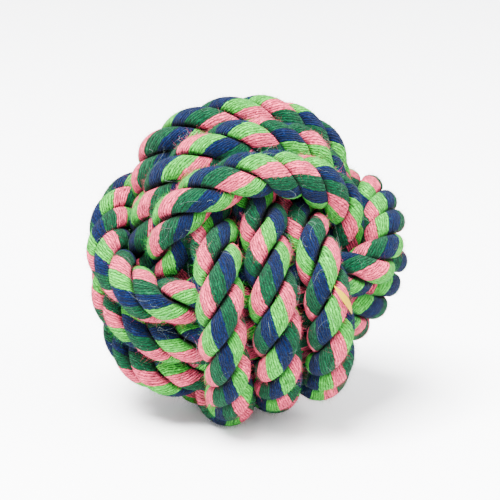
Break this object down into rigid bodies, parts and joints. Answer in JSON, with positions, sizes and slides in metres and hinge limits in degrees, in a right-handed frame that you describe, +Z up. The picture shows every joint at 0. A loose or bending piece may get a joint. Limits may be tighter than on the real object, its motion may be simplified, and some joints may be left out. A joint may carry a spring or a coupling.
{
  "type": "rope ball dog toy",
  "caption": "Ball-shaped dog toy wound from one thick twisted cotton rope, with bundled turns that pass over and under each other round a core.",
  "frame": {"origin": "middle of the ball's outline, on the plane it rests on", "axes": "+Z up; the three upright front turns face -Y, with the ball lying as it does in the picture"},
  "size_m": [0.0802, 0.0784, 0.0814],
  "materials": {
    "cotton_rope": "twisted cotton yarn in dark green, navy, light green and pink, matt and fluffy",
    "core": "leftover dyed cotton yarn wound into a ball, matt",
    "end_seal": "set adhesive soaked into the yarn, dull",
    "yellow_thread": "smooth flat yellow thread, satin"
  },
  "bodies": {
    "root": {"wound_rope": "cotton_rope", "core_ball": "core", "rope_end_seal_start": "end_seal", "rope_end_seal_finish": "end_seal", "yellow_thread": "yellow_thread"}
  },
  "joints": []
}
